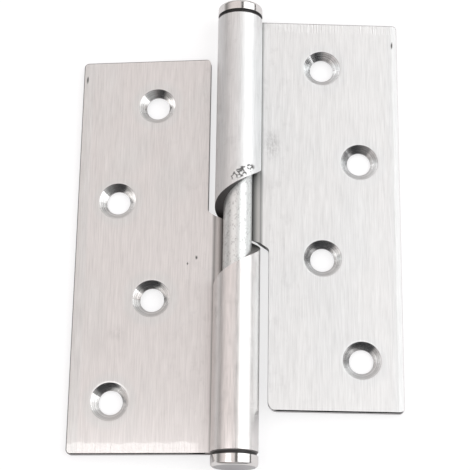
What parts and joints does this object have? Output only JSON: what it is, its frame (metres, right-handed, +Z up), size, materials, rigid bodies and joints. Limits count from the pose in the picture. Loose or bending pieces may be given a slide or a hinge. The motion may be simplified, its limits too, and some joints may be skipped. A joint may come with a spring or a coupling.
{
  "type": "rising butt hinge",
  "caption": "Rising butt hinge: two brushed steel leaves with countersunk holes and rolled knuckles whose helical ramps lift the door leaf as it opens.",
  "frame": {"origin": "on the floor below the middle of the hinge axis", "axes": "+X across the leaves towards the door leaf, +Y along the hinge axis towards the top cap, +Z up, out of the leaves' front faces"},
  "size_m": [0.0996, 0.146, 0.014],
  "materials": {
    "leaf_steel": "fine straight brushing along the hinge axis",
    "pin_steel": "dull and slightly mottled",
    "cap_steel": "turned and polished",
    "black_washer": "matt black"
  },
  "bodies": {
    "frame_side": {"frame_leaf": "leaf_steel", "bottom_cap": "cap_steel", "bottom_washer": "black_washer"},
    "pin": {"hinge_pin": "pin_steel"},
    "door_side": {"door_leaf": "leaf_steel", "top_cap": "cap_steel", "top_washer": "black_washer"}
  },
  "joints": [
    {"name": "leaf_turn", "type": "hinge", "parent": "frame_side", "child": "pin", "pos_m": [0, 0, 0.007], "axis": [0, 1, 0], "range_deg": [-188.34, 0]},
    {"name": "leaf_rise", "type": "slide", "parent": "pin", "child": "door_side", "axis": [0, 1, 0], "range_m": [-0.0128, 0]}
  ],
  "couplings": [
    {"joint": "leaf_rise", "follows": "leaf_turn", "m_per_rad": 0.0038834}
  ]
}
